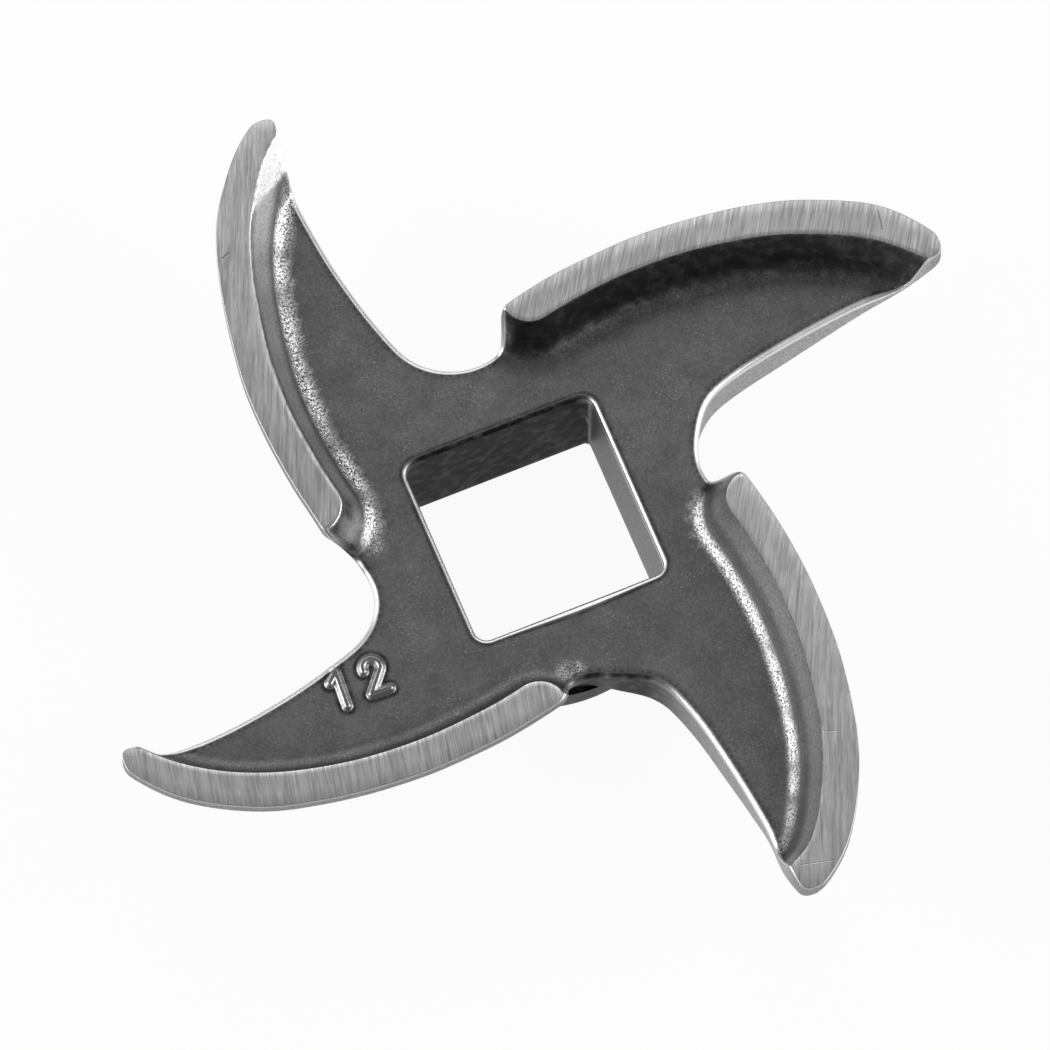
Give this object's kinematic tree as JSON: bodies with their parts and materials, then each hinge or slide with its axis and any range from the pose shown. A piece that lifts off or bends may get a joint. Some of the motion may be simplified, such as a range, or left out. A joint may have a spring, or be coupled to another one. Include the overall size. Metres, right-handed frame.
{
  "type": "meat grinder knife",
  "caption": "Sickle-armed meat grinder knife of cast steel, with flat ground cutting lands on raised ribs, a round hub boss and a square drive hole.",
  "frame": {"origin": "centre of the square drive hole in the plane of the hub's back face", "axes": "+Z along the drive hole towards the ground cutting lands, X and Y parallel to the sides of the hole"},
  "size_m": [0.059, 0.059, 0.0118],
  "materials": {
    "steel": "satin cast surface with ground lands"
  },
  "bodies": {
    "root": {"knife": "steel"}
  },
  "joints": []
}
